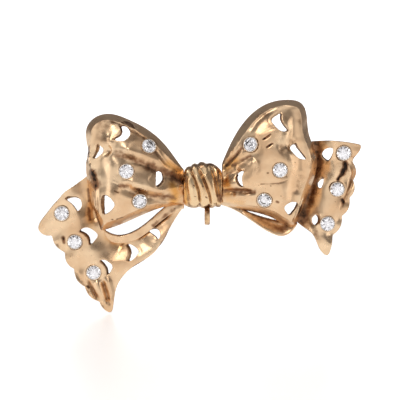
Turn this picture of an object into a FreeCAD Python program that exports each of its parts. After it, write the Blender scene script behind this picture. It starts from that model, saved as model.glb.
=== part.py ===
import FreeCAD
import Part
import math
import os
from FreeCAD import Placement, Rotation, Vector

# Ribbon-bow brooch in rose gold, set with twelve round diamonds.
#
# Frame: millimetres, X along the bow, Z up as worn, -Y towards the viewer.
# The origin is on the axis of the pin stem, straight behind the knot.
#
# Two puffed loops of pierced sheet butt against a wound knot. Behind each loop a
# narrow band closes the loop below its front, and a tail of the same sheet comes out
# past it. The stones sit in tube collets let into the sheet. A flat bar behind the
# knot stands on a leg inside each loop, and carries the pin joint at one end and the
# turning safety catch at the other. A drilled eyelet under the knot takes a pendant.

OUT = "parts"

# ---------------------------------------------------------------- driving dimensions
SHEET = 0.9  # ribbon sheet, measured front to back
BAND_SHEET = 0.7
TAIL_SHEET = 0.8

KNOT_LEFT, KNOT_RIGHT = -3.7, 3.3  # the knot's end faces, where the necks butt
KNOT_Y, KNOT_Z = -7.1, 0.5
KNOT_END_DEEP, KNOT_END_TALL = 3.0, 3.4  # half depth and half height at the ends
KNOT_BULGE_DEEP, KNOT_BULGE_TALL = 0.5, 0.95  # and how much more at the middle
KNOT_LIFT = 0.6  # the bulge is fuller on top
KNOT_BORE_DEEP, KNOT_BORE_TALL = 1.8, 2.0
KNOT_TURNS = 4  # ribbon turns wound side by side
KNOT_SLANT = 1.15  # how far a turn leans sideways across the front
KNOT_GROOVE = 0.42

RIM_Y = -6.0  # front of the loops at their open edges
EDGE_RISE, EDGE_RUN = 1.9, 1.8  # rounded edge of a loop: how far forward, over what width
BODY_RISE, BODY_RUN = 2.3, 7.0  # and the slower swell inside it
NECK_SQUEEZE = 0.25  # share of the swell lost beside the knot
CROWN, CROWN_AT, CROWN_RUN = 0.6, 13.0, 6.0  # extra swell at this distance from the knot
BAND_Y = -5.75  # front of the bands that close the loops
TAIL_Y = -4.98  # front of the tails where they pass behind a loop

GRID = 0.6  # spacing of the points that shape a sheet
SHEET_MARGIN = 1.2  # sheet beyond its outline before it is trimmed
TRIM_FRONT, TRIM_BACK = -16.0, 4.0  # reach of the trimming tools along Y

STONE_R = 1.2
STONE_SIDES = 16
GIRDLE = 0.06
TABLE_SHARE = 0.56
CROWN_ANGLE, PAVILION_ANGLE = 34.5, 40.8
COLLET_R, COLLET_BORE = 1.4, 0.76
COLLET_LIP = 1.14
COLLET_RISE, COLLET_DROP = 0.22, 1.9  # above and below the sheet's front
GIRDLE_RISE = 0.05

EYELET_X, EYELET_Y, EYELET_Z = 0.6, -6.6, -4.5
EYELET_R, EYELET_BORE, EYELET_WIDTH, EYELET_EDGE = 1.8, 0.9, 1.0, 0.2

BAR_X = 15.9  # half length of the back bar
BAR_FRONT, BAR_BACK = -3.7, -2.9
BAR_TALL = 1.3
LEG_X, LEG_WIDE = 14.8, 1.5
FOOT = 0.5  # plate under the joint and under the catch

STEM_R = 0.45
STEM_ROOT_X, ROOT_WIDE, ROOT_TALL = -13.2, 1.0, 1.1  # flat root, from the knuckle to here
STEM_TAPER_X = 12.6  # the wire thins from here, just short of the catch
STEM_POINT_X, STEM_POINT_R = 16.4, 0.36  # past the catch the point begins
STEM_TIP_X, STEM_TIP_R = 17.4, 0.06
HINGE_X = -14.8
KNUCKLE_R, KNUCKLE_TALL = 1.0, 1.2
LUG_R, LUG_THICK, LUG_PLAY = 1.15, 0.5, 0.02
RIVET_R, RIVET_PLAY = 0.35, 0.03
RIVET_HEAD_R, RIVET_HEAD = 0.62, 0.25

CATCH_X, CATCH_LONG = 14.8, 3.2
CATCH_R, CATCH_RING = 1.55, 0.85  # outer radius, and the length of each ring
SLEEVE_R, SLEEVE_BORE, SLEEVE_OVERHANG = 1.0, 0.62, 0.2
SLEEVE_PLAY = 0.03
SLEEVE_SLOT, RING_SLOT = 1.1, 1.24
LEVER_ANGLE = 95.0  # from the slot, when the catch is open
LEVER_REACH, LEVER_THICK, LEVER_PAD_R = 2.7, 0.7, 0.75
LEVER_PLAY = 0.08

# ---------------------------------------------------------------- ribbon outlines
# Each outline is drawn in the XZ plane, in order, as seen from the front.
LEFT_LOOP_FREE = [
    (KNOT_LEFT, 3.9), (-5.2, 5.9), (-7.6, 9.0), (-11.1, 11.8), (-14.1, 13.3), (-17.6, 14.3),
    (-20.4, 13.5), (-21.8, 11.6), (-21.7, 8.0), (-21.9, 5.0), (-21.6, 1.4), (-20.6, -3.0), (-19.1, -7.4),
]
LEFT_LOOP_LOWER = [(-19.1, -7.4), (-13.7, -5.5), (-8.1, -3.2), (KNOT_LEFT, -2.5)]
RIGHT_LOOP_FREE = [
    (KNOT_RIGHT, 5.0), (5.0, 8.9), (7.6, 13.0), (11.1, 15.9), (15.2, 16.9), (18.1, 16.2), (19.1, 13.6),
    (19.4, 10.8), (20.6, 7.4), (20.9, 4.2), (19.8, 0.6), (18.4, -3.2), (17.2, -6.0),
]
RIGHT_LOOP_LOWER = [(17.2, -6.0), (16.4, -6.8), (13.7, -5.6), (8.5, -3.8), (KNOT_RIGHT, -2.5)]

LEFT_BAND_UPPER = [(KNOT_LEFT, -1.2), (-7.2, -3.1), (-11.0, -6.4), (-15.2, -8.4), (-18.6, -7.3)]
LEFT_BAND_LOWER = [(-18.6, -7.3), (-17.4, -9.4), (-13.6, -9.5), (-8.6, -6.2), (KNOT_LEFT, -3.3)]
RIGHT_BAND_OUTER = [
    (KNOT_RIGHT, -2.7), (6.1, -3.8), (9.6, -6.1), (12.8, -8.0), (14.6, -8.4), (16.2, -7.6), (17.3, -6.1),
]
RIGHT_BAND_INNER = [(17.3, -6.1), (14.8, -6.4), (11.5, -5.7), (9.1, -4.7), (6.1, -3.1), (KNOT_RIGHT, -1.3)]

LEFT_TAIL_UPPER = [
    (KNOT_LEFT, -0.9), (-8.5, -4.9), (-12.6, -8.3), (-17.3, -8.4), (-19.6, -3.8), (-20.9, 3.4),
]
LEFT_TAIL_SIDE = [
    (-20.9, 3.4), (-23.7, 1.3), (-27.2, -1.7), (-29.6, -4.6), (-30.7, -7.3), (-30.2, -7.9), (-28.3, -8.3),
]
LEFT_TAIL_SCALLOPS = [(-28.3, -8.3), (-25.9, -11.5), (-24.2, -14.6), (-22.2, -17.9), (-19.4, -20.7)]
LEFT_TAIL_LOWER = [
    (-19.4, -20.7), (-18.4, -22.2), (-17.3, -22.6), (-16.9, -21.6), (-16.3, -18.1), (-13.9, -14.7),
    (-9.6, -11.8), (-6.6, -7.4), (KNOT_LEFT, -2.9),
]
RIGHT_TAIL_UPPER = [
    (KNOT_RIGHT, 3.2), (5.4, 5.2), (8.2, 6.2), (12.5, 6.0), (16.2, 4.9), (18.9, 5.2), (19.5, 7.4),
    (20.0, 9.2),
]
RIGHT_TAIL_TOP = [(20.0, 9.2), (24.2, 9.3), (27.0, 9.0), (29.0, 8.6)]
RIGHT_TAIL_CORNER = [(29.0, 8.6), (29.1, 8.1), (28.4, 6.8), (27.7, 5.3)]
RIGHT_TAIL_SCALLOPS = [(27.7, 5.3), (27.8, 1.9), (27.1, -1.3), (25.7, -4.7), (24.1, -8.2)]
RIGHT_TAIL_LOWER = [
    (24.1, -8.2), (23.5, -11.0), (22.8, -12.0), (22.1, -11.6), (20.1, -8.0), (18.4, -6.7), (17.2, -5.7),
]
RIGHT_TAIL_INNER = [
    (17.2, -5.7), (17.9, -2.6), (16.6, 0.6), (12.5, 2.0), (8.2, 4.2), (6.0, 3.6), (KNOT_RIGHT, 1.2),
]

SCALLOP_BULGE = 0.55

# Piercings: the two horns of a crescent, and how far its outer and inner curves bulge.
# The outer curve lies to the left of the way from the first horn to the second.
LEFT_LOOP_PIERCINGS = [
    ((-16.0, 9.7), (-15.4, 11.9), -2.2, -0.6),
    ((-20.4, 5.9), (-19.5, 8.7), -1.2, -0.2),
    ((-9.0, 0.9), (-8.9, 3.9), -1.4, -0.3),
    ((-18.4, -4.2), (-18.4, -0.7), -1.8, -0.1),
]
RIGHT_LOOP_PIERCINGS = [
    ((14.1, 14.4), (15.4, 11.2), -1.9, -0.5),
    ((17.0, 8.8), (18.9, 5.8), -1.3, -0.2),
    ((7.6, 3.8), (7.5, 0.8), -1.5, -0.4),
    ((17.2, -2.1), (15.7, -4.4), -1.4, 0.15),
]
LEFT_TAIL_PIERCINGS = [
    ((-23.4, -4.0), (-25.3, -1.7), -1.8, -0.2),
    ((-21.3, -10.0), (-23.1, -7.5), -2.2, -0.6),
    ((-17.9, -15.6), (-19.4, -12.9), -1.5, -0.4),
    ((-14.2, -13.1), (-14.4, -10.0), -1.9, -0.5),
    ((-8.5, -9.2), (-10.1, -7.5), -1.3, -0.2),
]
RIGHT_TAIL_PIERCINGS = [
    ((24.0, 7.9), (23.1, 5.6), -1.4, 0.2),
    ((22.3, 2.3), (21.8, 0.3), -0.9, 0.2),
    ((20.9, -4.4), (20.4, -6.4), -0.8, 0.7),
]

STONES = {
    "left_loop": {"upper": (-10.1, 8.3), "middle": (-14.2, 3.7), "lower": (-11.8, -1.8)},
    "right_loop": {"upper": (8.5, 8.6), "middle": (13.9, 3.9), "lower": (11.1, -1.6)},
    "left_tail": {"upper": (-26.4, -4.2), "middle": (-24.0, -9.5), "lower": (-20.5, -15.2)},
    "right_tail": {"upper": (25.9, 7.0), "middle": (24.7, 0.3), "lower": (22.9, -6.1)},
}

# Pleats that fan out of the knot: angle above the level at the knot, turn for each
# millimetre outwards, half width, depth, and the distance at which it has faded to half.
LEFT_PLEATS = [(31, 1.3, 0.7, 0.6, 9.5), (28, -0.4, 1.1, 1.3, 15.5), (-20, 2.0, 1.0, 0.9, 14.5)]
RIGHT_PLEATS = [
    (48, 0.2, 0.7, 0.8, 9.5),
    (27, 0.9, 0.9, 1.0, 10.5),
    (-11, 1.6, 0.8, 0.8, 9.5),
    (-22, 1.4, 0.7, 0.6, 9.0),
]


# ---------------------------------------------------------------- drawing helpers
def flat(point):
    """A point of the XZ plane as a vector."""
    return Vector(point[0], 0, point[1])


def curve(points):
    """Smooth edge through points of the XZ plane."""
    spline = Part.BSplineCurve()
    spline.interpolate([flat(p) for p in points])
    return spline.toShape()


def line(a, b):
    return Part.makeLine(flat(a), flat(b))


def bowed(a, b, bulge):
    """Arc from a to b that bows by bulge to the left of its way, or a line if it hardly bows."""
    if abs(bulge) < 0.01:
        return line(a, b)
    along = flat(b) - flat(a)
    left = Vector(-along.z, 0, along.x).normalize()
    middle = (flat(a) + flat(b)) * 0.5 + left * bulge
    return Part.Arc(flat(a), middle, flat(b)).toShape()


def scallops(nodes, bulge):
    return [bowed(a, b, bulge) for a, b in zip(nodes, nodes[1:])]


def tool(edges):
    """The outline's prism, long enough to trim any sheet of the bow."""
    face = Part.Face(Part.Wire(edges))
    face.translate(Vector(0, TRIM_FRONT, 0))
    return face.extrude(Vector(0, TRIM_BACK - TRIM_FRONT, 0))


def crescent(a, b, outer, inner):
    return tool([bowed(a, b, outer), bowed(b, a, -inner)])


def traced(edges, step=0.35):
    """Points along edges, as (x, z) pairs, for measuring how far a place is from them."""
    found = []
    for edge in edges:
        count = max(3, int(edge.Length / step))
        found += [(p.x, p.z) for p in edge.discretize(count)]
    return found


def gap_to(path, x, z):
    return min(math.hypot(x - a, z - b) for a, b in path)


def gap_inside(path, x, z, side):
    """Distance from a path, negative past it; side is 1 where the inside is on the way's left."""
    near = min(range(len(path)), key=lambda i: (x - path[i][0]) ** 2 + (z - path[i][1]) ** 2)
    before = path[max(near - 1, 0)]
    after = path[min(near + 1, len(path) - 1)]
    off_x, off_z = x - path[near][0], z - path[near][1]
    aside = (after[0] - before[0]) * off_z - (after[1] - before[1]) * off_x
    return math.copysign(math.hypot(off_x, off_z), aside * side)


def ease(value, start, end):
    """0 up to start, 1 from end, and smooth between."""
    t = min(1.0, max(0.0, (value - start) / (end - start)))
    return t * t * (3 - 2 * t)


def bell(value, centre, width):
    return math.exp(-(((value - centre) / width) ** 2))


def largest(shape):
    return max(shape.Solids, key=lambda solid: solid.Volume)


# ---------------------------------------------------------------- sheet metal
def sheet(edges, front, thickness, piercings=()):
    """Pierced sheet whose front follows front(x, z) inside the outline."""
    trim = tool(edges)
    for piercing in piercings:
        trim = trim.cut(crescent(*piercing))
    box = Part.Wire(edges).BoundBox
    columns = spaced(box.XMin - SHEET_MARGIN, box.XMax + SHEET_MARGIN)
    rows = spaced(box.ZMin - SHEET_MARGIN, box.ZMax + SHEET_MARGIN)
    surface = Part.BSplineSurface()
    surface.interpolate([[Vector(x, front(x, z), z) for z in rows] for x in columns])
    face = surface.toShape().common(trim).Faces[0]
    return face.extrude(Vector(0, thickness, 0))


def spaced(low, high):
    count = int(math.ceil((high - low) / GRID)) + 1
    return [low + (high - low) * i / (count - 1) for i in range(count)]


def from_knot(x, z):
    """Distance from the knot and angle above the level, the same way round on both sides."""
    return math.hypot(x, z - KNOT_Z), math.degrees(math.atan2(z - KNOT_Z, abs(x)))


def pleat_dip(x, z, pleats):
    radius, angle = from_knot(x, z)
    dip = 0.0
    for start, turn, width, depth, reach in pleats:
        centre = start + turn * (radius - KNOT_RIGHT)
        aside = radius * math.sin(math.radians(angle - centre))
        dip += depth * bell(aside, 0, width) / (1 + (radius / reach) ** 6)
    return dip


def quarter_wave(share):
    return math.sin(math.pi / 2 * min(max(share, -1), 1))


def loop_front(free_edges, side, outer_x, pleats):
    """Front of a puffed loop: it rises from its free edges, and pleats gather it at the knot."""
    path = traced(free_edges)

    def front(x, z):
        gap = gap_inside(path, x, z, side)
        radius, _ = from_knot(x, z)
        swell = EDGE_RISE * quarter_wave(gap / EDGE_RUN) + BODY_RISE * quarter_wave(gap / BODY_RUN)
        swell *= 1 - NECK_SQUEEZE * bell(radius, KNOT_RIGHT, 4.0)
        crown = CROWN * bell(radius, CROWN_AT, CROWN_RUN)
        outward = ease(abs(x), outer_x - 6.5, outer_x - 3.5)
        bead = outward * (0.35 * bell(gap, 1.3, 0.8) - 0.7 * bell(gap, 3.3, 1.2))
        settle = min(max(gap / 2.0, 0), 1)
        return RIM_Y - swell - (crown + bead - pleat_dip(x, z, pleats)) * settle

    return front


def left_loop_edges():
    return [curve(LEFT_LOOP_FREE), curve(LEFT_LOOP_LOWER), line(LEFT_LOOP_LOWER[-1], LEFT_LOOP_FREE[0])]


def right_loop_edges():
    return [curve(RIGHT_LOOP_FREE), curve(RIGHT_LOOP_LOWER), line(RIGHT_LOOP_LOWER[-1], RIGHT_LOOP_FREE[0])]


def left_tail_edges():
    return [
        curve(LEFT_TAIL_UPPER),
        curve(LEFT_TAIL_SIDE),
        *scallops(LEFT_TAIL_SCALLOPS, -SCALLOP_BULGE),
        curve(LEFT_TAIL_LOWER),
        line(LEFT_TAIL_LOWER[-1], LEFT_TAIL_UPPER[0]),
    ]


def right_tail_edges():
    return [
        curve(RIGHT_TAIL_UPPER),
        curve(RIGHT_TAIL_TOP),
        curve(RIGHT_TAIL_CORNER),
        *scallops(RIGHT_TAIL_SCALLOPS, SCALLOP_BULGE),
        curve(RIGHT_TAIL_LOWER),
        curve(RIGHT_TAIL_INNER),
        line(RIGHT_TAIL_INNER[-1], RIGHT_TAIL_UPPER[0]),
    ]


def left_band_outline():
    return [
        curve(LEFT_BAND_UPPER),
        curve(LEFT_BAND_LOWER),
        line(LEFT_BAND_LOWER[-1], LEFT_BAND_UPPER[0]),
    ]


def right_band_outline():
    return [
        curve(RIGHT_BAND_OUTER),
        curve(RIGHT_BAND_INNER),
        line(RIGHT_BAND_INNER[-1], RIGHT_BAND_OUTER[0]),
    ]


def tail_front(covers, end_nodes, lift, turn_back):
    """Front of a tail: it slopes forward once clear of what covers it, and its scalloped end flutes."""
    cover_faces = [Part.Face(Part.Wire(edges)) for edges in covers]
    cover_path = traced([edge for edges in covers for edge in edges])
    end_path = traced([line(a, b) for a, b in zip(end_nodes, end_nodes[1:])])
    first, last = flat(end_nodes[0]), flat(end_nodes[-1])
    along = (last - first).normalize()
    pitch = (last - first).Length / (len(end_nodes) - 1)

    def front(x, z):
        point = Vector(x, 0, z)
        covered = any(face.isInside(point, 0.01, True) for face in cover_faces)
        clear = 0.0 if covered else gap_to(cover_path, x, z)
        to_end = gap_to(end_path, x, z)
        flute = math.cos(2 * math.pi * (point - first).dot(along) / pitch) * bell(to_end, 0, 3.2)
        turned = turn_back * ease(1.8 - to_end, 0, 1.8)
        return TAIL_Y - lift * ease(clear, 0.4, 4.0) + 0.22 * flute * ease(clear, 0.5, 2.0) + turned

    return front


def left_band_front(x, z):
    """The left band leans back towards the loop's corner."""
    return BAND_Y + 0.25 * bell(x, -11.0, 4.0)


def right_band_front():
    """The right band's lower edge rolls forward."""
    path = traced([curve(RIGHT_BAND_OUTER)])

    def front(x, z):
        rolled = 1.2 * bell(gap_to(path, x, z), 0, 1.1) * ease(x, 4.0, 8.5)
        return BAND_Y + 0.35 - rolled

    return front


# ---------------------------------------------------------------- knot and eyelet
def knot():
    """Ribbon wound in slanting turns round the waist, with a hollow middle."""
    long = KNOT_RIGHT - KNOT_LEFT
    stations, around = 29, 36
    rings = []
    for i in range(stations):
        share = i / (stations - 1)
        x = KNOT_LEFT + long * share
        bulge = math.sin(math.pi * share) ** 0.7
        ring = []
        for j in range(around):
            turn = 2 * math.pi * j / around
            lean = KNOT_SLANT * math.sin(turn) * math.sin(math.pi * share)
            phase = math.pi * KNOT_TURNS * (x + lean - KNOT_LEFT) / long
            groove = KNOT_GROOVE * (1 - abs(math.sin(phase)) ** 0.7)
            deep = KNOT_END_DEEP + KNOT_BULGE_DEEP * bulge - groove
            tall = KNOT_END_TALL + KNOT_BULGE_TALL * bulge - groove
            y = KNOT_Y - deep * math.cos(turn)
            z = KNOT_Z + KNOT_LIFT * bulge + tall * math.sin(turn)
            ring.append(Vector(x, y, z))
        wire = Part.BSplineCurve()
        wire.interpolate(ring, PeriodicFlag=True)
        rings.append(Part.Wire(wire.toShape()))
    outside = Part.makeLoft(rings, True, False)
    bore = Part.Ellipse(Vector(0, 0, 0), KNOT_BORE_TALL, KNOT_BORE_DEEP).toShape()
    bore = Part.Face(Part.Wire(bore))
    bore.Placement = Placement(Vector(KNOT_LEFT - 1, KNOT_Y, KNOT_Z), Rotation(Vector(0, 1, 0), 90))
    return outside.cut(bore.extrude(Vector(long + 2, 0, 0)))


def eyelet():
    """Drilled eyelet with rounded edges, its hole across the brooch."""
    half, edge = EYELET_WIDTH / 2, EYELET_EDGE
    disc = Part.makeCylinder(EYELET_R, EYELET_WIDTH, Vector(-half, 0, 0), Vector(1, 0, 0))
    hole = Part.makeCylinder(EYELET_BORE, EYELET_WIDTH, Vector(-half, 0, 0), Vector(1, 0, 0))
    ring = disc.cut(hole)
    ring = ring.makeFillet(edge, ring.Edges)
    ring.translate(Vector(EYELET_X, EYELET_Y, EYELET_Z))
    return ring


# ---------------------------------------------------------------- stones and collets
def seat_frame(front, x, z):
    """Placement on the sheet's front at (x, z), with its own Z pointing out of the sheet."""
    step = 0.3
    slope_x = (front(x + step, z) - front(x - step, z)) / (2 * step)
    slope_z = (front(x, z + step) - front(x, z - step)) / (2 * step)
    outward = Vector(slope_x, -1, slope_z).normalize()
    return Placement(Vector(x, front(x, z), z), Rotation(Vector(0, 0, 1), outward))


def collet(place):
    """Short tube with a coned seat and a lip burnished over the stone."""
    seat = GIRDLE_RISE - GIRDLE / 2 - 0.02
    bore_drop = seat - (STONE_R + 0.02 - COLLET_BORE) * math.tan(math.radians(PAVILION_ANGLE)) - 0.02
    lip_start = GIRDLE_RISE + GIRDLE / 2 + 0.02
    profile = [
        (COLLET_R, -COLLET_DROP),
        (COLLET_R, COLLET_RISE - 0.1),
        (COLLET_R - 0.07, COLLET_RISE),
        (COLLET_LIP + 0.03, COLLET_RISE),
        (COLLET_LIP, COLLET_RISE - 0.05),
        (STONE_R + 0.02, lip_start),
        (STONE_R + 0.02, seat),
        (COLLET_BORE, bore_drop),
        (COLLET_BORE, -COLLET_DROP),
    ]
    wire = Part.makePolygon([Vector(r, 0, h) for r, h in [*profile, profile[0]]])
    tube = Part.Face(wire).revolve(Vector(0, 0, 0), Vector(0, 0, 1), 360).Solids[0]
    tube.Placement = place
    return tube


def corners(sides, radius, height, turn=0.0):
    """Corners of a level polygon, its first one turned by a share of a side."""
    angles = [2 * math.pi * (i + turn) / sides for i in range(sides)]
    return [Vector(radius * math.cos(a), radius * math.sin(a), height) for a in angles]


def diamond(place):
    """Round brilliant of plain facets: table, crown, girdle and pavilion."""
    table_r = STONE_R * TABLE_SHARE
    top = GIRDLE_RISE + GIRDLE / 2
    bottom = GIRDLE_RISE - GIRDLE / 2
    table_h = top + (STONE_R - table_r) * math.tan(math.radians(CROWN_ANGLE))
    culet = Vector(0, 0, bottom - STONE_R * math.tan(math.radians(PAVILION_ANGLE)))
    table = corners(STONE_SIDES // 2, table_r, table_h, 0.25)
    upper = corners(STONE_SIDES, STONE_R, top)
    lower = corners(STONE_SIDES, STONE_R, bottom)
    faces = [Part.Face(Part.makePolygon([*table, table[0]]))]
    for i in range(STONE_SIDES):
        j = (i + 1) % STONE_SIDES
        near = table[(i // 2) % len(table)]
        faces.append(triangle(upper[i], upper[j], near))
        if i % 2:
            faces.append(triangle(upper[j], table[((i + 1) // 2) % len(table)], near))
        faces.append(Part.Face(Part.makePolygon([upper[i], lower[i], lower[j], upper[j], upper[i]])))
        faces.append(triangle(lower[j], lower[i], culet))
    stone = Part.Solid(Part.makeShell(faces))
    stone.Placement = place
    return stone


def triangle(a, b, c):
    return Part.Face(Part.makePolygon([a, b, c, a]))


# ---------------------------------------------------------------- pin work
def block(low, high):
    return Part.makeBox(high[0] - low[0], high[1] - low[1], high[2] - low[2], Vector(*low))


def rod(radius, start, end):
    way = Vector(*end) - Vector(*start)
    return Part.makeCylinder(radius, way.Length, Vector(*start), way)


def back_bar(loops, fronts, wound):
    """Flat bar behind the knot, on a leg that reaches the inside of each loop."""
    half = BAR_TALL / 2
    bar = block((-BAR_X, BAR_FRONT, -half), (BAR_X, BAR_BACK, half))
    for side, loop in zip((-1, 1), loops):
        x = side * LEG_X
        reach = fronts[side](x, 0) + SHEET * 0.5
        leg = block((x - LEG_WIDE / 2, reach, -half), (x + LEG_WIDE / 2, BAR_BACK, half))
        bar = bar.fuse(leg.cut(loop))
    return largest(bar.removeSplitter().cut(wound))


def pin_joint():
    """Foot plate with two lugs that hold the stem's knuckle between them."""
    inside = KNUCKLE_TALL / 2 + LUG_PLAY
    outside = inside + LUG_THICK
    joint = block((HINGE_X - LUG_R, BAR_BACK, -outside), (HINGE_X + LUG_R, BAR_BACK + FOOT, outside))
    for low, high in ((inside, outside), (-outside, -inside)):
        lug = rod(LUG_R, (HINGE_X, 0, low), (HINGE_X, 0, high))
        web = block((HINGE_X - LUG_R, BAR_BACK, low), (HINGE_X + LUG_R, 0, high))
        joint = joint.fuse(lug).fuse(web)
    hole = rod(RIVET_R, (HINGE_X, 0, -outside - 1), (HINGE_X, 0, outside + 1))
    return joint.removeSplitter().cut(hole)


def hinge_rivet():
    outside = KNUCKLE_TALL / 2 + LUG_PLAY + LUG_THICK
    rivet = rod(RIVET_R, (HINGE_X, 0, -outside), (HINGE_X, 0, outside))
    for side in (-1, 1):
        start = (HINGE_X, 0, side * outside)
        end = (HINGE_X, 0, side * (outside + RIVET_HEAD))
        rivet = rivet.fuse(rod(RIVET_HEAD_R, start, end))
    return rivet.removeSplitter()


def pin_stem():
    """Knuckle, flat root, round stem, slight taper through the catch and a sharp point."""
    half = KNUCKLE_TALL / 2
    knuckle = rod(KNUCKLE_R, (HINGE_X, 0, -half), (HINGE_X, 0, half))
    root = block((HINGE_X, -ROOT_WIDE / 2, -ROOT_TALL / 2), (STEM_ROOT_X, ROOT_WIDE / 2, ROOT_TALL / 2))
    shank = rod(STEM_R, (HINGE_X, 0, 0), (STEM_TAPER_X, 0, 0))
    along = Vector(1, 0, 0)
    taper_long = STEM_POINT_X - STEM_TAPER_X
    taper = Part.makeCone(STEM_R, STEM_POINT_R, taper_long, Vector(STEM_TAPER_X, 0, 0), along)
    point_long = STEM_TIP_X - STEM_POINT_X
    point = Part.makeCone(STEM_POINT_R, STEM_TIP_R, point_long, Vector(STEM_POINT_X, 0, 0), along)
    stem = knuckle.multiFuse([root, shank, taper, point]).removeSplitter()
    return stem.cut(rod(RIVET_R + RIVET_PLAY, (HINGE_X, 0, -half - 1), (HINGE_X, 0, half + 1)))


def catch_housing():
    """Foot and two open rings, with room between them for the lever to swing."""
    half = CATCH_LONG / 2
    low_x, high_x = CATCH_X - half, CATCH_X + half
    foot = block((low_x, BAR_BACK, -BAR_TALL / 2), (high_x, BAR_BACK + FOOT, BAR_TALL / 2))
    body = foot.fuse(block((low_x, BAR_BACK, -0.6), (high_x, 0, 0.6)))
    body = body.fuse(rod(CATCH_R, (low_x, 0, 0), (high_x, 0, 0)))
    swing = CATCH_R + 0.12
    gap_low, gap_high = low_x + CATCH_RING, high_x - CATCH_RING
    body = body.cut(rod(swing, (gap_low, 0, 0), (gap_high, 0, 0)))
    body = body.cut(rod(SLEEVE_R + SLEEVE_PLAY, (low_x - 1, 0, 0), (high_x + 1, 0, 0)))
    mouth = block((low_x - 1, 0, -RING_SLOT / 2), (high_x + 1, CATCH_R + 1, RING_SLOT / 2))
    return body.cut(mouth).removeSplitter()


def catch_sleeve():
    """Slotted sleeve with a thumb lever; turning it closes the catch's mouth."""
    half = CATCH_LONG / 2 + SLEEVE_OVERHANG
    sleeve = rod(SLEEVE_R, (CATCH_X - half, 0, 0), (CATCH_X + half, 0, 0))
    sleeve = sleeve.cut(rod(SLEEVE_BORE, (CATCH_X - half - 1, 0, 0), (CATCH_X + half + 1, 0, 0)))
    slot = block((CATCH_X - half - 1, 0, -SLEEVE_SLOT / 2), (CATCH_X + half + 1, 2, SLEEVE_SLOT / 2))
    sleeve = sleeve.cut(slot)
    wide = CATCH_LONG - 2 * CATCH_RING - 2 * LEVER_PLAY
    low_x, high_x = CATCH_X - wide / 2, CATCH_X + wide / 2
    inner = (SLEEVE_R + SLEEVE_BORE) / 2
    flat_half = LEVER_THICK / 2
    arm = block((low_x, inner, -flat_half), (high_x, LEVER_REACH, flat_half))
    pad = rod(LEVER_PAD_R, (CATCH_X, LEVER_REACH, -flat_half), (CATCH_X, LEVER_REACH, flat_half))
    lever = arm.fuse(pad)
    lever.rotate(Vector(0, 0, 0), Vector(1, 0, 0), LEVER_ANGLE)
    return sleeve.fuse(lever).removeSplitter()


# ---------------------------------------------------------------- assembly
def build():
    left_edges, right_edges = left_loop_edges(), right_loop_edges()
    left_band_edges, right_band_edges = left_band_outline(), right_band_outline()
    fronts = {
        "left_loop": loop_front(left_edges[:2], 1, 21.8, LEFT_PLEATS),
        "right_loop": loop_front(right_edges[:2], -1, 20.6, RIGHT_PLEATS),
        "left_tail": tail_front([left_edges, left_band_edges], LEFT_TAIL_SCALLOPS, 1.1, 0.3),
        "right_tail": tail_front([right_edges], RIGHT_TAIL_SCALLOPS, 1.4, 1.1),
    }
    parts = {
        "left_loop": sheet(left_edges, fronts["left_loop"], SHEET, LEFT_LOOP_PIERCINGS),
        "right_loop": sheet(right_edges, fronts["right_loop"], SHEET, RIGHT_LOOP_PIERCINGS),
        "left_tail": sheet(left_tail_edges(), fronts["left_tail"], TAIL_SHEET, LEFT_TAIL_PIERCINGS),
        "right_tail": sheet(right_tail_edges(), fronts["right_tail"], TAIL_SHEET, RIGHT_TAIL_PIERCINGS),
    }
    left_band = sheet(left_band_edges, left_band_front, BAND_SHEET)
    right_band = sheet(right_band_edges, right_band_front(), BAND_SHEET)
    parts["left_loop"] = parts["left_loop"].cut(parts["left_tail"])
    parts["left_loop_band"] = largest(left_band.cut(parts["left_loop"]).cut(parts["left_tail"]))
    parts["right_loop_band"] = largest(right_band.cut(parts["right_loop"]))

    for ribbon, places in STONES.items():
        for name, (x, z) in places.items():
            place = seat_frame(fronts[ribbon], x, z)
            bore = Part.makeCylinder(COLLET_R, 2 * COLLET_DROP, Vector(0, 0, -COLLET_DROP))
            bore.Placement = place
            parts[ribbon] = parts[ribbon].cut(bore)
            parts[f"{ribbon}_collet_{name}"] = collet(place)
            parts[f"{ribbon}_diamond_{name}"] = diamond(place)

    wound = knot()
    parts["knot"] = wound
    parts["pendant_eyelet"] = largest(eyelet().cut(wound))
    loops = (parts["left_loop"], parts["right_loop"])
    parts["back_bar"] = back_bar(loops, {-1: fronts["left_loop"], 1: fronts["right_loop"]}, wound)
    parts["pin_joint"] = pin_joint()
    parts["hinge_rivet"] = hinge_rivet()
    parts["pin_stem"] = pin_stem()
    parts["catch_housing"] = catch_housing()
    parts["catch_sleeve"] = catch_sleeve()
    return parts


def main():
    os.makedirs(OUT, exist_ok=True)
    for name, shape in build().items():
        solids = shape.Solids
        shape = solids[0] if len(solids) == 1 else shape
        shape.exportStep(os.path.join(OUT, name + ".step"))
        print(f"{name:28s} solids {len(solids)} valid {shape.isValid()} volume {shape.Volume:8.3f}")


main()
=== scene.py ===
import math

import bpy
import numpy as np
from mathutils import Matrix, Vector, kdtree


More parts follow.
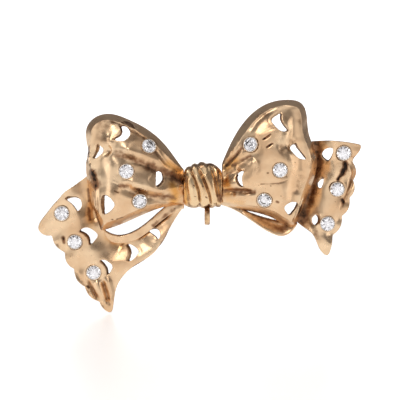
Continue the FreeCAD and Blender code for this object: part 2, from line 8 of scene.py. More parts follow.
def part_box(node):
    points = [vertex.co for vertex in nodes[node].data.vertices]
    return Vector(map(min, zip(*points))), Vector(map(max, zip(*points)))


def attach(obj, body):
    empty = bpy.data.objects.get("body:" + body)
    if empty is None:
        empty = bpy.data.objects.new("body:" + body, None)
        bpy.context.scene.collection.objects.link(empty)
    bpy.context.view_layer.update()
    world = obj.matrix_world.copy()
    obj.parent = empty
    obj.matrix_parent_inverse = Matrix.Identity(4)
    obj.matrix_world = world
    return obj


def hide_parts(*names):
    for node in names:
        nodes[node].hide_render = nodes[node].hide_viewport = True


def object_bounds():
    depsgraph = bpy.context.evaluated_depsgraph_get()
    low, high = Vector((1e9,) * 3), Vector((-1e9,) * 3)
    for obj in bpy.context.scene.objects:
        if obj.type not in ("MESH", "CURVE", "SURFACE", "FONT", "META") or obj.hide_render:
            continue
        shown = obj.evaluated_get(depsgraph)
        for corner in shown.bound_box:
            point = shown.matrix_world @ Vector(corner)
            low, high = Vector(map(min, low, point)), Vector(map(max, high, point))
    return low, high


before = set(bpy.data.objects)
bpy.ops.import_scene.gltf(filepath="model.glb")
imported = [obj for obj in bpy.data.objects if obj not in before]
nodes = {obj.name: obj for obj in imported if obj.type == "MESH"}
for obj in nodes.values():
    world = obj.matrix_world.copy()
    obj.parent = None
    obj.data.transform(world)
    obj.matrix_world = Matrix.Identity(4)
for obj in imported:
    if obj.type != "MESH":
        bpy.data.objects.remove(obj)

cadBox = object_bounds()
mm = 0.001
print("frame loaded:", len(nodes), "nodes")


# working tools

burnishing = {"frontFacing": -0.55, "step": 0.6}
# tarnish in the hollows, dark lines round the collets, and painted shade on the walls inside the piercings
tarnishAndShading = {
    "rounds": 28,  # of smoothing, to tell which points are sunk
    "sunkShare": 0.7,
    # share of painted shade on the walls inside each piercing
    "piercedWallShade": 0.95,
    "ring": (1.43, 0.12, 0.6),  # dark line round each collet: radius, half width, strength
    "most": 1.2,
}
hammering = {"loop": (8.5, 0.035), "band": (6.0, 0.04), "tail": (9.0, 0.02)}  # wave length, depth


def clearSelection():
    bpy.ops.object.select_all(action="DESELECT")


def pick(piece):
    clearSelection()
    piece.select_set(True)
    bpy.context.view_layer.objects.active = piece


def applyModifiers(piece):
    pick(piece)
    for modifier in list(piece.modifiers):
        bpy.ops.object.modifier_apply(modifier=modifier.name)


def nodeCopy(node, name):
    # a merged copy of a CAD node's mesh, to be worked on
    piece = bpy.data.objects.new(name, nodes[node].data.copy())
    bpy.context.scene.collection.objects.link(piece)
    piece.data.materials.clear()
    pick(piece)
    bpy.ops.object.mode_set(mode="EDIT")
    bpy.ops.mesh.select_all(action="SELECT")
    bpy.ops.mesh.customdata_custom_splitnormals_clear()
    bpy.ops.mesh.remove_doubles(threshold=0.000002)
    bpy.ops.object.mode_set(mode="OBJECT")
    return piece


def softened(piece, voxel, rounds):
    # one even skin over the whole piece, its edges worn round
    skin = piece.modifiers.new("skin", "REMESH")
    skin.mode = "VOXEL"
    skin.voxel_size = voxel * mm
    skin.use_smooth_shade = True
    wear = piece.modifiers.new("wear", "SMOOTH")
    wear.factor = 0.5
    wear.iterations = rounds
    applyModifiers(piece)


def readPoints(piece):
    flat = np.empty(len(piece.data.vertices) * 3)
    piece.data.vertices.foreach_get("co", flat)
    return flat.reshape(-1, 3) / mm


def readNormals(piece):
    flat = np.empty(len(piece.data.vertices) * 3)
    piece.data.vertices.foreach_get("normal", flat)
    return flat.reshape(-1, 3)


def writePoints(piece, points):
    piece.data.vertices.foreach_set("co", (points * mm).ravel())
    piece.data.update()


def readEdges(piece):
    edges = np.empty(len(piece.data.edges) * 2, dtype=np.int64)
    piece.data.edges.foreach_get("vertices", edges)
    return edges.reshape(-1, 2)


def averaged(values, edges, count):
    # each point's mean over its neighbours
    total = np.bincount(edges[:, 0], values[edges[:, 1]], len(values))
    total += np.bincount(edges[:, 1], values[edges[:, 0]], len(values))
    return np.where(count > 0, total / np.maximum(count, 1), values)


def calmed(piece, rounds, flats=()):
    # the face of the sheet burnished flat of ripples, its outline and walls kept
    points, normals = readPoints(piece), readNormals(piece)
    edges = readEdges(piece)
    edges = edges[(normals[edges, 1] < burnishing["frontFacing"]).all(axis=1)]
    count = np.bincount(edges.ravel(), minlength=len(points))
    step = burnishing["step"]
    for _ in range(rounds):
        points[:, 1] += step * (averaged(points[:, 1], edges, count) - points[:, 1])
    for (cx, cz), reach, extra in flats:
        weight = step * np.exp(-(((points[:, 0] - cx) ** 2 + (points[:, 2] - cz) ** 2) / reach**2))
        for _ in range(extra):
            points[:, 1] += weight * (averaged(points[:, 1], edges, count) - points[:, 1])
    writePoints(piece, points)


def strokeGap(points, stroke):
    # how far each point is from a line across the front, how far along it, and on which side
    x, z = points[:, 0], points[:, 2]
    best = np.full(len(points), 1e9)
    along, side = np.zeros(len(points)), np.ones(len(points))
    lengths = [math.dist(a, b) for a, b in zip(stroke, stroke[1:])]
    total, done = sum(lengths), 0.0
    for (ax, az), (bx, bz), length in zip(stroke, stroke[1:], lengths):
        share = np.clip(((x - ax) * (bx - ax) + (z - az) * (bz - az)) / length**2, 0, 1)
        gap = np.hypot(x - ax - share * (bx - ax), z - az - share * (bz - az))
        nearer = gap < best
        best = np.where(nearer, gap, best)
        along = np.where(nearer, (done + share * length) / total, along)
        side = np.where(nearer, np.sign((bx - ax) * (z - az) - (bz - az) * (x - ax)), side)
        done += length
    return best, along, side


def tapered(along):
    # strokes fade towards both ends
    return np.clip(np.minimum(along, 1 - along) * 5 + 0.1, 0, 1)


def tooled(piece, strokes, folds=()):
    # creases pushed back, ridges raised, and folds that stand proud on one side of their line
    points = readPoints(piece)
    push = np.zeros(len(points))
    for stroke, width, depth in strokes:
        gap, along, _ = strokeGap(points, stroke)
        push += depth * tapered(along) * np.exp(-((gap / width) ** 2))
    for stroke, width, depth in folds:
        gap, along, side = strokeGap(points, stroke)
        push -= depth * tapered(along) * side * 2.3 * gap / width * np.exp(-((gap / width) ** 2))
    points[:, 1] += push
    writePoints(piece, points)


def eased(piece, pulls):
    # edges drawn sideways, to open a piercing or square a corner
    points = readPoints(piece)
    moved = points.copy()
    for (cx, cz), reach, (sx, sz) in pulls:
        share = np.exp(-(((points[:, 0] - cx) ** 2 + (points[:, 2] - cz) ** 2) / reach**2))
        moved[:, 0] += sx * share
        moved[:, 2] += sz * share
    writePoints(piece, moved)


def slanted(piece, piercings):
    # each piercing is sawn at a slant, so one wall of it shows from the front
    points, normals = readPoints(piece), readNormals(piece)
    moved = points.copy()
    for (cx, cz), reach, (sx, sz) in piercings:
        near = np.nonzero(np.hypot(points[:, 0] - cx, points[:, 2] - cz) < reach + 1.0)[0]
        faces = near[normals[near, 1] < -0.7]
        backs = near[normals[near, 1] > 0.7]
        trees = []
        for group in (faces, backs):
            tree = kdtree.KDTree(len(group))
            for i, v in enumerate(group):
                tree.insert((points[v, 0], points[v, 2], 0), i)
            tree.balance()
            trees.append((tree, group))
        for v in near:
            flat = (points[v, 0], points[v, 2], 0)
            heights = [points[group[tree.find(flat)[1]], 1] for tree, group in trees]
            share = min(max((points[v, 1] - heights[0]) / max(heights[1] - heights[0], 0.1), 0), 1)
            fade = min(max((reach + 0.9 - math.hypot(flat[0] - cx, flat[1] - cz)) / 0.9, 0), 1)
            moved[v, 0] += sx * (share - 0.5) * fade
            moved[v, 2] += sz * (share - 0.5) * fade
    writePoints(piece, moved)


def hammered(piece, size, depth, seed):
    # broad unevenness of hand-raised sheet
    points = readPoints(piece)
    push = np.zeros(len(points))
    for octave in range(3):
        turn = seed + octave * 1.7
        wave = size / 1.9**octave
        a = (points[:, 0] * math.cos(turn) + points[:, 2] * math.sin(turn)) / wave
        b = (points[:, 2] * math.cos(turn) - points[:, 0] * math.sin(turn)) / wave
        push += np.sin(2 * math.pi * a + 1.3 * np.sin(2 * math.pi * b + seed)) * depth / 1.8**octave
    points[:, 1] += push
    writePoints(piece, points)


def markTarnishAndShade(piece, piercings=(), stones=(), shadeAndStains=(), paintedGlows=(), hollow=0.14, rim=0.0):
    # two attributes: tarnish in hollows and dark lines round the collets, painted shade on piercing walls
    # and side walls, painted shade and stains along given lines; and a painted warm glow by the knot, a
    # painted reflection of red gold
    points, normals = readPoints(piece), readNormals(piece)
    edges = readEdges(piece)
    count = np.bincount(edges.ravel(), minlength=len(points))
    smooth = points.copy()
    for _ in range(tarnishAndShading["rounds"]):
        for axis in range(3):
            smooth[:, axis] += 0.5 * (averaged(smooth[:, axis], edges, count) - smooth[:, axis])
    sunk = ((smooth - points) * normals).sum(1)
    # tarnish in the hollows; side walls get painted shade (rim) by how far they turn from the front
    wall = np.clip((0.8 - np.abs(normals[:, 1])) / 0.4, 0, 1)
    dark = np.maximum(np.clip(sunk / hollow, 0, 1) * tarnishAndShading["sunkShare"], wall * rim)
    # painted shade on the walls inside each piercing
    for (cx, cz), reach, _ in piercings:
        near = np.hypot(points[:, 0] - cx, points[:, 2] - cz) < reach
        dark = np.maximum(dark, np.where(near, wall * tarnishAndShading["piercedWallShade"], 0))
    ringRadius, ringWidth, ringShare = tarnishAndShading["ring"]
    for cx, cz in stones:
        away = np.hypot(points[:, 0] - cx, points[:, 2] - cz)
        dark = np.maximum(dark, np.exp(-(((away - ringRadius) / ringWidth) ** 2)) * ringShare)
    # painted shade and stains along each line
    for stroke, width, strength in shadeAndStains:
        gap, _, _ = strokeGap(points, stroke)
        spread = np.exp(-((gap / width) ** 2.6)) * (normals[:, 1] < 0.2)
        dark = np.maximum(dark, strength * spread)
    # painted warm glow, a painted reflection of red gold
    red = np.zeros(len(points))
    for stroke, width, strength in paintedGlows:
        gap, _, _ = strokeGap(points, stroke)
        red = np.maximum(red, strength * np.exp(-((gap / width) ** 2)))
    for name, values in (("tarnishAndShade", dark), ("paintedGlow", red)):
        layer = piece.data.attributes.new(name, "FLOAT", "POINT")
        layer.data.foreach_set("value", np.clip(values, 0, tarnishAndShading["most"]))


def stoneSpots(ribbon):
    # where a ribbon's stones sit, read from the frame
    spots = []
    for name in sorted(nodes):
        if name.startswith(ribbon + "_diamond"):
            low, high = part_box(name)
            spots.append(((low[0] + high[0]) / 2 / mm, (low[2] + high[2]) / 2 / mm))
    return spots


# materials

def shaderTree(name):
    material = bpy.data.materials.new(name)
    material.use_nodes = True
    tree = material.node_tree
    return material, tree, tree.nodes["Principled BSDF"]


def wire(tree, start, end):
    tree.links.new(start, end)


def noise(tree, coords, scale, detail=3.0, rough=0.55, stretch=(1, 1, 1)):
    mapping = tree.nodes.new("ShaderNodeMapping")
    mapping.inputs["Scale"].default_value = stretch
    wire(tree, coords, mapping.inputs["Vector"])
    grain = tree.nodes.new("ShaderNodeTexNoise")
    grain.inputs["Scale"].default_value = scale
    grain.inputs["Detail"].default_value = detail
    grain.inputs["Roughness"].default_value = rough
    wire(tree, mapping.outputs["Vector"], grain.inputs["Vector"])
    return grain.outputs["Fac"]


def remap(tree, value, low, high, outLow=0.0, outHigh=1.0):
    node = tree.nodes.new("ShaderNodeMapRange")
    node.interpolation_type = "SMOOTHSTEP"
    for key, number in (("From Min", low), ("From Max", high), ("To Min", outLow), ("To Max", outHigh)):
        node.inputs[key].default_value = number
    wire(tree, value, node.inputs["Value"])
    return node.outputs["Result"]


def blendColours(tree, share, first, second):
    node = tree.nodes.new("ShaderNodeMix")
    node.data_type = "RGBA"
    for socket, colour in ((node.inputs["A"], first), (node.inputs["B"], second)):
        if isinstance(colour, tuple):
            socket.default_value = (*colour, 1)
        else:
            wire(tree, colour, socket)
    wire(tree, share, node.inputs["Factor"])
    return node.outputs["Result"]


def attributeOf(tree, name):
    node = tree.nodes.new("ShaderNodeAttribute")
    node.attribute_name = name
    return node.outputs["Fac"]


def summed(tree, first, second):
    node = tree.nodes.new("ShaderNodeMath")
    node.operation = "ADD"
    wire(tree, first, node.inputs[0])
    wire(tree, second, node.inputs[1])
    return node.outputs["Value"]


goldLook = {
    "ribbon": {
        "pale": (0.88, 0.65, 0.42), "deep": (0.77, 0.51, 0.30), "rough": (0.25, 0.38), "hammer": 0.16,
    },
    "knot": {
        "pale": (0.90, 0.67, 0.41), "deep": (0.78, 0.52, 0.29), "rough": (0.22, 0.34), "hammer": 0.16,
    },
    "fittings": {
        "pale": (0.84, 0.62, 0.41), "deep": (0.74, 0.51, 0.32), "rough": (0.26, 0.38), "hammer": 0.1,
    },
    "setting": {
        "pale": (0.84, 0.74, 0.62), "deep": (0.72, 0.60, 0.47), "rough": (0.18, 0.32), "hammer": 0.1,
    },
    # warm brown and near black for tarnish and painted shade, then the painted warm glow, a painted
    # reflection of red gold
    "warmTarnishAndShade": (0.25, 0.125, 0.065),
    "blackTarnishAndShade": (0.03, 0.02, 0.015),
    "paintedGlow": (0.78, 0.40, 0.12),
}
goldGrain = {  # scale of each pattern: more is finer
    "clouds": 160, "speckle": 900, "pits": 1300, "sheen": 420, "dents": 260, "scratches": 2200,
    "scratchShare": 0.06,
    "bumpHeight": 0.00025,
}


def roseGold(name, look, worn):
    # polished red-tinged gold: warm brown where tarnish and painted shade lie in the hollows, near black in
    # the stains and deepest painted shade, and a painted warm glow of reflected gold
    material, tree, shader = shaderTree(name)
    coords = tree.nodes.new("ShaderNodeTexCoord").outputs["Object"]
    shader.inputs["Metallic"].default_value = 1.0
    clouds = remap(tree, noise(tree, coords, goldGrain["clouds"], 4.0), 0.35, 0.65)
    colour = blendColours(tree, clouds, look["pale"], look["deep"])
    # worn pieces get tarnish with painted shade, and the painted warm glow
    if worn:
        paintedGlow = attributeOf(tree, "paintedGlow")
        colour = blendColours(tree, paintedGlow, colour, goldLook["paintedGlow"])
        speckle = remap(tree, noise(tree, coords, goldGrain["speckle"], 4.0), 0.3, 0.7, -0.22, 0.22)
        pits = remap(tree, noise(tree, coords, goldGrain["pits"], 1.0), 0.76, 0.80, 0.0, 0.7)
        # tarnish and painted shade, with speckle and pits
        tarnishAndShade = summed(tree, summed(tree, attributeOf(tree, "tarnishAndShade"), speckle), pits)
        warm = remap(tree, tarnishAndShade, 0.1, 0.9)
        black = remap(tree, tarnishAndShade, 0.86, 1.2)
        colour = blendColours(tree, warm, colour, goldLook["warmTarnishAndShade"])
        colour = blendColours(tree, black, colour, goldLook["blackTarnishAndShade"])
    wire(tree, colour, shader.inputs["Base Color"])
    sheen = noise(tree, coords, goldGrain["sheen"], 5.0, 0.6)
    roughness = remap(tree, sheen, 0.3, 0.7, *look["rough"])
    wire(tree, roughness, shader.inputs["Roughness"])
    dents = noise(tree, coords, goldGrain["dents"], 1.5, 0.45)
    scratches = noise(tree, coords, goldGrain["scratches"], 2.0, 0.6, (1, 1, 0.12))
    relief = tree.nodes.new("ShaderNodeMath")
    relief.operation = "MULTIPLY_ADD"
    relief.inputs[1].default_value = goldGrain["scratchShare"]
    wire(tree, scratches, relief.inputs[0])
    wire(tree, dents, relief.inputs[2])
    bump = tree.nodes.new("ShaderNodeBump")
    bump.inputs["Strength"].default_value = look["hammer"]
    bump.inputs["Distance"].default_value = goldGrain["bumpHeight"]
    wire(tree, relief.outputs["Value"], bump.inputs["Height"])
    wire(tree, bump.outputs["Normal"], shader.inputs["Normal"])
    return material


def clearDiamond():
    material, tree, shader = shaderTree("clear diamond")
    coords = tree.nodes.new("ShaderNodeTexCoord").outputs["Object"]
    shader.inputs["Base Color"].default_value = (0.96, 0.96, 1, 1)
    shader.inputs["Transmission Weight"].default_value = 1.0
    shader.inputs["IOR"].default_value = 2.2
    polish = remap(tree, noise(tree, coords, 900, 2.0), 0.3, 0.7, 0.0, 0.03)
    wire(tree, polish, shader.inputs["Roughness"])
    return material


ribbonGold = roseGold("polished ribbon gold", goldLook["ribbon"], True)
knotGold = roseGold("polished knot gold", goldLook["knot"], True)
fittingsGold = roseGold("satin fittings gold", goldLook["fittings"], False)
settingGold = roseGold("bright setting gold", goldLook["setting"], False)
diamondLook = clearDiamond()
print("materials ready")


def finishPiece(piece, material, slotName, *replaced):
    piece.data.materials.clear()
    piece.data.materials.append(material)
    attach(piece, "brooch")
    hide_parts(*replaced)


# left loop

leftLoop = {
    "voxel": 0.13,
    "wear": 5,
    "burnish": 90,
    "flats": [  # middle, reach and how long it is burnished
        ((-18.4, 10.8), 2.6, 500),
        ((-18.0, 2.6), 2.4, 400),
        ((-12.6, 9.0), 1.8, 300),
    ],
    "strokes": [  # line across the front, half width, depth: back is positive
        ([(-17.0, 13.0), (-13.6, 11.5), (-10.9, 9.8), (-8.8, 7.3), (-6.7, 4.7), (-5.1, 3.6)], 0.35, 0.32),
        ([(-20.2, 3.6), (-20.2, 1.2), (-20.0, -2.6), (-19.2, -6.8)], 0.7, 0.5),
        ([(-20.9, 12.9), (-20.9, 9.4)], 0.45, -0.18),
        ([(-19.2, -0.8), (-19.2, -5.2)], 0.4, -0.2),
        ([(-14.6, 1.1), (-13.2, 0.9)], 0.6, 0.3),
        ([(-13.4, 10.6), (-11.0, 8.4), (-8.6, 5.6)], 1.5, 0.28),
    ],
    "folds": [  # line, half width, depth: proud on the left of the line, sunk on its right
        ([(-16.5, 7.3), (-14.6, 6.8), (-11.5, 5.5), (-7.8, 3.6), (-4.1, 2.0)], 1.5, 0.62),
        ([(-15.4, 1.3), (-12.0, 0.2), (-9.0, -0.8), (-5.0, -1.2)], 1.1, 0.5),
    ],
    "pulls": [  # middle, reach, and how far the edge is drawn
        ((-18.2, 7.6), 0.9, (1.05, 0.0)),
        ((-16.3, 9.6), 0.9, (-0.8, -0.1)),
        ((-13.0, 10.6), 0.8, (0.35, 0.0)),
        ((-9.2, 2.2), 0.9, (-0.55, 0.0)),
        ((-19.0, -2.4), 1.3, (-0.5, 0.0)),
        ((-16.7, -2.4), 1.0, (0.4, 0.0)),
    ],
    "piercings": [  # middle, reach, and how far the saw leans across and up by the back
        ((-14.6, 10.9), 2.0, (0.4, -0.2)),
        ((-19.5, 7.2), 2.1, (0.55, -0.2)),
        ((-8.3, 2.4), 2.1, (-0.4, 0.3)),
        ((-17.6, -2.4), 2.4, (0.55, 0.0)),
    ],
    # painted shade along the valleys, folds and gaps, with stains of dirt
    "shadeAndStains": [  # line, half width, strength
        ([(-17.2, 12.9), (-15.7, 12.4), (-13.6, 11.4), (-12.0, 10.5), (-10.9, 9.7)], 0.32, 0.62),
        ([(-9.4, 7.9), (-8.6, 6.9), (-7.8, 5.7), (-6.7, 4.7), (-5.1, 3.6)], 0.32, 0.55),
        ([(-15.8, 6.9), (-14.2, 6.4), (-11.5, 5.2), (-8.6, 3.9)], 0.85, 0.62),
        ([(-10.2, 4.7), (-7.0, 3.2), (-5.4, 2.5), (-4.2, 1.9)], 1.05, 0.88),
        ([(-15.3, 1.0), (-14.0, 0.8)], 0.5, 0.72),
        ([(-12.6, 0.2), (-9.9, -0.7), (-7.4, -1.1), (-5.6, -1.2)], 0.75, 0.64),
        ([(-20.5, 3.3), (-20.2, 2.2), (-19.9, 1.0)], 0.85, 1.08),
        ([(-20.2, -1.4), (-20.0, -4.6)], 0.5, 0.4),
        ([(-19.8, -5.4), (-19.2, -7.0)], 0.38, 0.98),
        ([(-18.9, 12.6), (-17.0, 12.1)], 0.8, 0.45),
        ([(-18.6, 12.0), (-18.2, 9.6)], 1.2, 0.36),
        ([(-16.4, 0.1), (-15.7, -0.2)], 0.15, 0.85),
        ([(-16.0, -5.1), (-14.9, -4.8)], 0.16, 0.7),
        ([(-17.0, -5.2), (-16.8, -5.2)], 0.16, 0.7),
    ],
    # painted warm glow, a painted reflection of red gold, by the knot
    "paintedGlows": [
        ([(-4.6, 3.6), (-6.6, 5.0)], 0.9, 0.85),
        ([(-5.8, 1.2), (-5.2, -0.4), (-5.6, -1.9)], 1.0, 1.0),
    ],
}


def makeLoop(node, name, plan, seed):
    loop = nodeCopy(node, name)
    softened(loop, plan["voxel"], plan["wear"])
    calmed(loop, plan["burnish"], plan["flats"])
    slanted(loop, plan["piercings"])
    eased(loop, plan["pulls"])
    tooled(loop, plan["strokes"], plan.get("folds", ()))
    hammered(loop, *hammering["loop"], seed)
    markTarnishAndShade(loop, plan["piercings"], stoneSpots(node), plan["shadeAndStains"], plan["paintedGlows"])
    finishPiece(loop, ribbonGold, "ribbon_gold", node)


makeLoop("left_loop", "left_loop_sheet", leftLoop, 0.4)
print("left loop raised")


# right loop

rightLoop = {
    "voxel": 0.13,
    "wear": 5,
    "burnish": 90,
    "flats": [((12.4, 7.6), 2.4, 300), ((16.6, 2.2), 2.0, 300)],
    "strokes": [
        ([(8.4, 10.6), (9.6, 12.6), (11.5, 14.2), (13.4, 15.0)], 0.4, 0.22),
        ([(4.9, 7.2), (6.5, 10.0)], 0.35, -0.25),
        ([(4.0, 4.6), (6.8, 7.8)], 0.35, 0.4),
        ([(5.0, 4.6), (6.8, 5.6), (8.8, 6.6)], 0.55, 0.24),
        ([(6.2, 3.7), (7.8, 4.8), (9.4, 5.8)], 0.85, -0.36),
        ([(13.6, 7.4), (15.2, 8.4), (16.8, 9.4)], 0.9, 0.4),
        ([(19.5, 8.8), (20.2, 5.6), (19.8, 3.0)], 0.5, -0.3),
        ([(18.6, -0.6), (17.9, -2.6), (16.9, -4.6)], 0.4, -0.3),
        ([(18.2, 3.6), (17.4, 1.0), (16.8, -0.6)], 0.6, 0.25),
        ([(3.9, 0.1), (7.0, 0.1), (9.6, -0.2)], 0.45, 0.45),
        ([(5.4, -0.8), (8.2, -0.9)], 0.4, -0.25),
        ([(10.8, 9.5), (12.1, 10.4)], 0.16, 0.3),
        ([(11.5, 8.1), (12.5, 8.8)], 0.16, 0.3),
        ([(10.4, 1.3), (13.6, 1.5), (15.2, 2.0)], 0.14, 0.1),
    ],
    "pulls": [
        ((12.7, 13.0), 0.9, (-0.7, 0.1)),
        ((16.5, 7.8), 0.9, (-0.75, 0.2)),
        ((15.0, -3.0), 0.9, (-0.4, 0.1)),
    ],
    "piercings": [
        ((13.9, 12.4), 2.2, (-0.35, 0.0)),
        ((17.4, 6.9), 2.1, (-0.05, -0.3)),
        ((6.8, 2.3), 2.0, (0.6, 0.15)),
        ((16.2, -2.8), 1.9, (-0.25, 0.25)),
    ],
    # painted shade along the valleys, folds and slits, with stains of dirt
    "shadeAndStains": [
        ([(10.8, 9.5), (12.1, 10.45)], 0.2, 1.1),
        ([(11.5, 8.1), (12.45, 8.75)], 0.24, 1.1),
        ([(13.4, -1.9), (13.6, -2.0)], 0.28, 1.0),
        ([(11.6, 3.4), (11.7, 3.4)], 0.16, 0.85),
        ([(12.1, 1.05), (12.2, 1.0)], 0.16, 0.85),
        ([(10.4, 1.35), (13.6, 1.5), (15.2, 2.0)], 0.13, 0.6),
        ([(11.2, 14.1), (11.9, 14.5)], 0.45, 0.5),
        ([(4.1, 4.7), (6.8, 7.8)], 0.34, 0.8),
        ([(5.2, 4.7), (8.6, 6.5)], 0.4, 0.6),
        ([(4.0, 0.1), (7.0, 0.1), (9.2, -0.2)], 0.5, 0.8),
        ([(14.3, 8.0), (16.4, 8.9)], 0.9, 0.42),
        ([(17.4, 2.8), (17.2, 0.9)], 0.35, 0.4),
        ([(9.9, 5.4), (10.5, 4.2), (9.8, 3.2)], 0.45, 0.35),
        ([(12.9, 14.9), (14.6, 13.6)], 0.8, 0.3),
        ([(17.6, 12.9), (18.6, 10.8)], 0.5, 0.35),
    ],
    # painted warm glow, a painted reflection of red gold, by the knot
    "paintedGlows": [
        ([(4.2, 4.4), (5.8, 5.6)], 0.9, 0.85),
        ([(4.2, 1.6), (4.4, -0.4)], 0.9, 0.85),
        ([(4.4, -1.6), (7.0, -2.2)], 0.6, 0.4),
    ],
}
makeLoop("right_loop", "right_loop_sheet", rightLoop, 2.1)
print("right loop raised")


# bands that close the loops

bandPlan = {
    "voxel": 0.1,
    "wear": 5,
    "flare": {"left_loop_band": 0.35, "right_loop_band": 0.9},  # how far the inner face leans up
    # painted shade where the strips meet by the knot
    "shadeAndStains": [([(-3.8, -2.2), (-7.0, -4.4), (-9.5, -6.6)], 0.4, 0.6)],
    # painted shade on the side walls
    "rim": 0.3,
    "inside": 0.8,  # painted shade on the inner face
}


def makeBand(node, name):
    # the strip leans open, and its inner face gets painted shade
    band = nodeCopy(node, name)
    softened(band, bandPlan["voxel"], bandPlan["wear"])
    points, normals = readPoints(band), readNormals(band)
    front = points[:, 1].min()
    share = np.clip((points[:, 1] - front) / (points[:, 1].max() - front), 0, 1)
    upper = np.clip(normals[:, 2] * 1.6, 0, 1)
    points[:, 2] += bandPlan["flare"][node] * share * upper
    writePoints(band, points)
    hammered(band, *hammering["band"], 1.1)
    markTarnishAndShade(band, shadeAndStains=bandPlan["shadeAndStains"], rim=bandPlan["rim"])
    tarnishAndShade = band.data.attributes["tarnishAndShade"]
    values = np.empty(len(points))
    tarnishAndShade.data.foreach_get("value", values)
    # painted shade on the upper, inner face
    inside = upper * np.clip(share * 3, 0, 1) * bandPlan["inside"]
    tarnishAndShade.data.foreach_set("value", np.maximum(values, inside))
    finishPiece(band, ribbonGold, "ribbon_gold", node)


makeBand("left_loop_band", "left_loop_under_band")
makeBand("right_loop_band", "right_loop_under_band")
print("bands done")


# tails

tailEdgeShade = 0.8  # painted shade on the sheet's cut edge
leftTail = {
    "voxel": 0.12,
    "wear": 5,
    "burnish": 90,
    "flats": [((-17.0, -8.6), 3.0, 400), ((-23.6, -11.0), 2.6, 300), ((-26.0, -5.6), 2.4, 300)],
    "strokes": [
        ([(-20.2, -16.2), (-19.3, -18.8), (-18.2, -21.6)], 0.5, -0.4),
        ([(-18.0, -15.8), (-17.2, -18.8), (-17.0, -21.4)], 0.5, -0.35),
        ([(-19.0, -16.4), (-18.2, -19.0), (-17.7, -21.0)], 0.35, 0.45),
        ([(-21.9, -16.2), (-20.6, -18.6), (-19.7, -20.4)], 0.3, 0.4),
        ([(-24.8, -13.9), (-22.9, -16.7), (-21.6, -18.2)], 0.35, 0.3),
        ([(-27.5, -9.4), (-25.8, -12.2)], 0.35, 0.25),
        ([(-17.4, -9.0), (-15.2, -10.4)], 0.9, 0.2),
        ([(-12.6, -9.0), (-9.1, -6.4), (-6.0, -3.9)], 0.5, 0.3),
        ([(-20.0, -1.0), (-20.6, -4.0), (-20.2, -6.0)], 0.9, 0.4),
    ],
    "pulls": [
        ((-12.5, -11.3), 0.9, (0.5, 0.0)),
        ((-17.0, -13.9), 0.8, (0.35, 0.0)),
        ((-20.2, -8.2), 0.9, (0.45, 0.0)),
        ((-25.2, -1.2), 0.8, (-0.5, 0.1)),
        ((-10.0, -8.2), 0.8, (-0.5, 0.0)),
    ],
    "piercings": [
        ((-23.8, -2.1), 2.2, (0.3, -0.4)),
        ((-21.3, -8.0), 2.3, (0.4, 0.25)),
        ((-17.9, -13.8), 2.1, (0.35, 0.25)),
        ((-13.4, -11.5), 2.1, (0.6, 0.0)),
        ((-8.9, -8.0), 1.8, (0.3, -0.25)),
    ],
    # painted shade in the gap beside the loop and along the folds, with stains of dirt
    "shadeAndStains": [
        ([(-26.1, -8.8), (-26.0, -9.6)], 0.42, 1.05),
        ([(-21.5, 0.2), (-21.4, -1.9)], 0.32, 0.8),
        ([(-21.5, -3.3), (-21.2, -5.4)], 0.36, 0.8),
        ([(-20.2, 1.0), (-20.2, -5.8)], 0.9, 0.5),
        ([(-17.4, -8.9), (-15.2, -10.2)], 0.7, 0.5),
        ([(-21.7, -17.8), (-21.5, -18.0)], 0.26, 1.0),
        ([(-19.2, -16.6), (-18.3, -19.2), (-17.6, -21.2)], 0.22, 0.5),
        ([(-21.6, -16.6), (-20.4, -18.4), (-19.9, -19.8)], 0.18, 0.5),
        ([(-12.0, -9.0), (-9.0, -6.6), (-6.6, -4.6)], 0.3, 0.5),
        ([(-4.4, -2.6), (-7.0, -4.6), (-9.4, -6.4)], 0.45, 0.6),
    ],
    # painted warm glow, a painted reflection of red gold
    "paintedGlows": [([(-17.8, -8.6), (-15.2, -10.2)], 1.0, 0.5), ([(-21.3, 0.8), (-20.8, -5.8)], 0.9, 0.5)],
}
